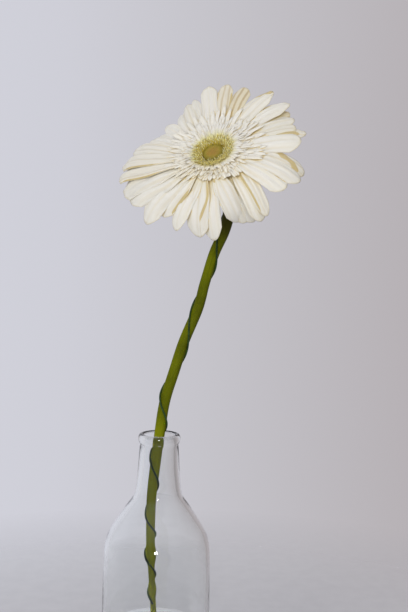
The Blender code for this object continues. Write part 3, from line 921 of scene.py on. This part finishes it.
def make_inner_rays():
    """The rings of inner rays, each one piece, with their shares of painted shade. The short ones
    next to the disc are yellower and further up."""
    face = ray_material("inner_ray_white", (0.86, 0.78, 0.42))
    inmost = ray_material("inmost_ray_white", (0.74, 0.70, 0.22), claw=0.42)
    chance = random.Random(23)
    made = []
    for name, count, share, raised, root_height, widths, arch, loose in RAY_RINGS:
        surface = Surface(DISC)
        for i in range(count):
            azimuth = math.tau * (i + chance.uniform(-0.3, 0.3)) / count
            reach = (around(RAY_REACH, azimuth) - RAY_START) * share * chance.uniform(0.64, 1.18)
            height = mix(root_height, around(RAY_HEIGHT, azimuth), share) + raised
            shape = ray_shape(azimuth, RAY_START + reach, height + chance.uniform(-1, 1) * loose,
                              root_height + chance.uniform(-0.4, 0.4), chance.uniform(*widths),
                              arch + chance.uniform(-6, 6), chance)
            tint_and_shade = around(RAY_TINT_AND_SHADE, azimuth) * chance.uniform(0.5, 1.3)
            lay_blade(surface, shape, RAY_GRID, tint_and_shade)
        material = inmost if name == "inner_petals_short" else face
        made.append((surface.make(name + "_blades", [material], [name],
                                  RAY_THICKNESS), 1.0))
    return made


def paint_cover_shade(blades, others):
    """Gives each point of the blades a value from 0 to 1 for painted shade: how much of the space
    just over it is taken up, times the blade's share. The materials paint it as ochre shade where
    another piece lies close."""
    points, faces = [], []
    for obj in [blade for blade, _ in blades] + others:
        first = len(points)
        points.extend(v.co.copy() for v in obj.data.vertices)
        faces.extend([first + i for i in face.vertices] for face in obj.data.polygons)
    tree = BVHTree.FromPolygons(points, faces)
    fan = []
    for k in range(COVER_RAYS):
        z = math.sqrt(1 - (k + 0.5) / COVER_RAYS)
        fan.append((z, radial(k * GOLDEN_ANGLE) * math.sqrt(1 - z * z)))
    for blade, share in blades:
        painted_shade = []
        for vertex in blade.data.vertices:
            side, other = frame_along(vertex.normal)
            start = vertex.co + vertex.normal * COVER_START * MM
            taken = 0.0
            for z, flat in fan:
                ray = vertex.normal * z + side * flat.x + other * flat.y
                hit, _, _, away = tree.ray_cast(start, ray, COVER_REACH * MM)
                if hit:
                    taken += 1 - 0.6 * away / (COVER_REACH * MM)
            painted_shade.append(taken / COVER_RAYS * share)
        layer = blade.data.attributes.new("painted_shade", "FLOAT", "POINT")
        layer.data.foreach_set("value", painted_shade)


# ---------------------------------------------------------------- disc and calyx


def add_floret(surface, foot, axis, length, radius, tint, chance):
    """A small open trumpet with five lobes, a darker heart and a stamen column."""
    side, other = frame_along(axis)
    rows = []
    for share, reach in ((0.0, 0.55), (0.6, 0.7), (0.88, 1.0), (1.0, 1.4)):
        between = 1.0 if share < 1 else 0.62
        radii = [radius * reach * (between if k % 2 else 1.0) for k in range(FLORET_SIDES)]
        rows.append(ring_round(foot + axis * length * share, side, other, radii)[::-1])
    rim = surface.grid(rows, (0.1, 0.45, 0.75, 1.0), tint, ring=True)[2]
    heart = surface.add(foot + axis * length * 0.8, tint)
    for k, corner in enumerate(rim):
        surface.face((corner, heart, rim[(k + 1) % FLORET_SIDES]), ((0.1, 0.5),) * 3, 1)
    bend = (side * chance.uniform(-1, 1) + other * chance.uniform(-1, 1)) * 0.25
    column = []
    for share, reach in ((0.7, 0.2), (1.25, 0.2), (1.4, 0.32), (1.62, 0.16)):
        middle = foot + axis * length * share + bend * length * max(0.0, share - 0.9)
        column.append(ring_round(middle, side, -other, [radius * reach] * 5))
    ends = surface.grid(column, (0.6, 0.9, 0.95, 1.0), min(1.0, tint + 0.2), ring=True)
    surface.cap(ends[-1], (1.0, 0.5))


def leaning(outward, angle):
    return (outward * math.sin(angle) + Vector((0, 0, math.cos(angle)))).normalized()


def make_open_florets(chance):
    """Florets on a solid collar; the outer ones stand higher and lean outwards."""
    surface = Surface(DISC)
    turned(surface, [(0, 0.4), *COLLAR, (0, 0.4)], 48, tint=0.0)
    for k in range(OPEN_FLORETS):
        share = (k + 0.5) / OPEN_FLORETS
        radius = math.sqrt(mix(OPEN_INNER_RADIUS ** 2, OPEN_OUTER_RADIUS ** 2, share))
        radius += chance.uniform(-0.15, 0.15)
        outward = radial(k * GOLDEN_ANGLE + chance.uniform(-0.05, 0.05))
        out = radius - OPEN_INNER_RADIUS
        tilt = math.radians(mix(-4, 50, smoothstep(out / 4.6)) + chance.uniform(-7, 7))
        foot = outward * radius + Vector((0, 0, mix(3.6, 5.0, smoothstep(out / 3.5))))
        length = mix(1.6, 2.3, share) * chance.uniform(0.85, 1.15)
        add_floret(surface, foot, leaning(outward, tilt), length,
                   FLORET_RADIUS * chance.uniform(0.85, 1.2), chance.random(), chance)
    return surface.make("disc_open_florets", [floret_material(), floret_heart_material()],
                        ["disc_florets_open"])


def make_closed_florets(chance):
    """Buds on a solid dome, longer towards its rim."""
    surface = Surface(DISC)
    turned(surface, [(0, 0.35), *DOME, (0, 3.7)], 40, tint=1.0)
    for k in range(CLOSED_FLORETS):
        share = (k + 0.5) / CLOSED_FLORETS
        radius = CLOSED_OUTER_RADIUS * math.sqrt(share)
        outward = radial(k * GOLDEN_ANGLE)
        foot = outward * radius
        foot.z = mix(3.75, 2.9, smoothstep((radius - 4.4) / 2.2))
        axis = leaning(outward, math.radians(mix(-2, 10, share)))
        side, other = frame_along(axis)
        tall = mix(0.9, 1.5, share) * chance.uniform(0.85, 1.15)
        wide = mix(0.8, 1.05, share)
        rows = [
            ring_round(foot + axis * tall * rise, side, -other, [reach * wide] * 6)
            for rise, reach in ((0.0, 0.42), (0.45, 0.44), (0.8, 0.32), (1.0, 0.1))
        ]
        ends = surface.grid(rows, (0.0, 0.5, 0.8, 1.0), share, ring=True)
        surface.cap(ends[-1], (1.0, 0.5))
    return surface.make("disc_closed_florets", [bud_material()], ["disc_florets_bud"])


def make_disc():
    chance = random.Random(5)
    return [make_open_florets(chance), make_closed_florets(chance)]


def add_bract(surface, azimuth, curve, half_width, reach, tint):
    """A short leaf that lies on the calyx along the curve and bulges a little."""
    rows = []
    shares = [k / (len(curve) - 1) for k in range(len(curve))]
    for t, p in zip(shares, curve):
        radius = p.x + reach * t * t
        half = half_width * (0.62 + 0.5 * t) * math.sqrt(max(0.03, 1 - t ** 3))
        row = []
        for v in (1, 2 / 3, 1 / 3, 0, -1 / 3, -2 / 3, -1):
            bulge = 0.245 * (1 - v * v)
            outward = radial(azimuth + half * v / radius)
            row.append(outward * (radius + bulge) + Vector((0, 0, p.y - bulge)))
        rows.append(row)
    surface.grid(rows, shares, tint)


def make_calyx():
    green = green_material("calyx_green", (0.15, 0.19, 0.035), (0.07, 0.10, 0.015),
                           (0.30, 0.33, 0.15))
    surface = Surface(HEAD)
    turned(surface, [(0, -12.3)] + smooth_profile(CALYX_CUP, 3) + [(0, 0.2)], 48)
    surface.make("calyx_cup", [green], ["receptacle"])
    chance = random.Random(11)
    for name, count, outline, width, phase in BRACT_RINGS:
        surface = Surface(HEAD)
        curve = along([Vector((r, z, 0)) for r, z in outline], 3)
        for i in range(count):
            azimuth = math.tau * (i + phase + chance.uniform(-0.1, 0.1)) / count
            half_width = width * chance.uniform(0.94, 1.06) / 2
            reach = chance.uniform(-0.2, 0.25)
            add_bract(surface, azimuth, curve, half_width, reach, chance.random())
        surface.make(name + "_leaves", [green], [name], BRACT_THICKNESS)


# ---------------------------------------------------------------- stage, light and camera

# In metres and degrees.
LAMP_AIM = (0.02, -0.03, 0.36)
CAMERA_PLACE = (0.0269, -0.5466, 0.3232)
CAMERA_PITCH = -2.6
CAMERA_ROLL = 1.35


def make_floor():
    """A pale round floor that fades out, just under the bottle."""
    bm = bmesh.new()
    bmesh.ops.create_circle(bm, cap_ends=True, segments=96, radius=0.6)
    mesh = bpy.data.meshes.new("floor")
    bm.to_mesh(mesh)
    bm.free()
    s = Shader("floor_pale", Roughness=0.8, Specular_IOR_Level=0.2)
    s.set("Base Color", s.ramp(s.noise(s.place(), 60.0, 4.0), (
        (0.3, (0.66, 0.66, 0.69)), (0.7, (0.70, 0.70, 0.73)))))
    away = s.node("ShaderNodeVectorMath", {0: s.place()}, output=1, operation="LENGTH")
    s.set("Alpha", s.span(away, 0.16, 0.58, 1.0, 0.0))
    mesh.materials.append(s.material)
    floor = bpy.data.objects.new("floor", mesh)
    bpy.context.scene.collection.objects.link(floor)
    floor.location.z = -0.4 * MM


def make_world():
    """A pale room: lightest to the left of what is behind the flower, greyer at the sides and
    behind the viewer, with a white ceiling."""
    world = bpy.data.worlds.new("pale_room")
    bpy.context.scene.world = world
    w = Nodes(world)
    x, y, z = w.split(w.node("ShaderNodeTexCoord"))
    ahead = w.ramp(w.span(x, -1.0, 1.0), (
        (0.0, (0.62, 0.62, 0.66)), (0.30, (0.66, 0.67, 0.74)), (0.42, (0.62, 0.62, 0.68)),
        (0.5, (0.56, 0.55, 0.59)), (0.62, (0.47, 0.44, 0.46)), (0.75, (0.40, 0.37, 0.38)),
        (1.0, (0.24, 0.23, 0.235)),
    ), "LINEAR")
    room = w.blend(w.span(y, -0.35, 0.35, interpolation="SMOOTHSTEP"), (0.22, 0.22, 0.23), ahead)
    room = w.blend(w.span(z, 0.5, 0.9, interpolation="SMOOTHSTEP"), room, (0.60, 0.60, 0.62))
    w.plug(w.nodes["Background"].inputs["Color"], room)


def add_area(name, place, size, watts, colour, mirrored=False):
    """A lamp panel. One that isn't mirrored lights the object, but doesn't show in its glass."""
    light = bpy.data.lights.new(name, "AREA")
    light.size = size
    light.energy = watts
    light.color = colour
    lamp = bpy.data.objects.new(name, light)
    bpy.context.scene.collection.objects.link(lamp)
    lamp.location = place
    lamp.rotation_euler = (Vector(LAMP_AIM) - Vector(place)).to_track_quat("-Z", "Y").to_euler()
    lamp.visible_camera = False
    lamp.visible_glossy = lamp.visible_transmission = mirrored


def make_lights():
    add_area("key", (-0.58, -1.03, 0.45), 0.42, 4.4, (1.0, 0.99, 0.96))
    add_area("glint", (0.02, -1.20, 0.62), 0.14, 3.4, (1.0, 0.98, 0.95), mirrored=True)
    add_area("fill", (0.0, -1.4, 0.50), 1.6, 4.1, (1.0, 0.98, 0.95))


def make_camera():
    data = bpy.data.cameras.new("camera")
    data.lens = 50
    data.sensor_width = 36
    data.clip_start = 0.01
    camera = bpy.data.objects.new("camera", data)
    bpy.context.scene.collection.objects.link(camera)
    pitch, roll = math.radians(CAMERA_PITCH), math.radians(CAMERA_ROLL)
    forward = Vector((0, math.cos(pitch), math.sin(pitch)))
    level_up = Vector((0, -math.sin(pitch), math.cos(pitch)))
    right = Vector((1, 0, 0)) * math.cos(roll) + level_up * math.sin(roll)
    up = level_up * math.cos(roll) - Vector((1, 0, 0)) * math.sin(roll)
    turn = Matrix((right, up, -forward)).transposed().to_4x4()
    camera.matrix_world = Matrix.Translation(CAMERA_PLACE) @ turn
    bpy.context.scene.camera = camera


def main():
    bpy.context.scene.view_settings.view_transform = "Standard"
    make_camera()
    make_world()
    make_lights()
    make_floor()
    make_bottle()
    make_water()
    make_stem()
    make_wire()
    make_calyx()
    paint_cover_shade(make_petals() + make_inner_rays(), make_disc())


main()
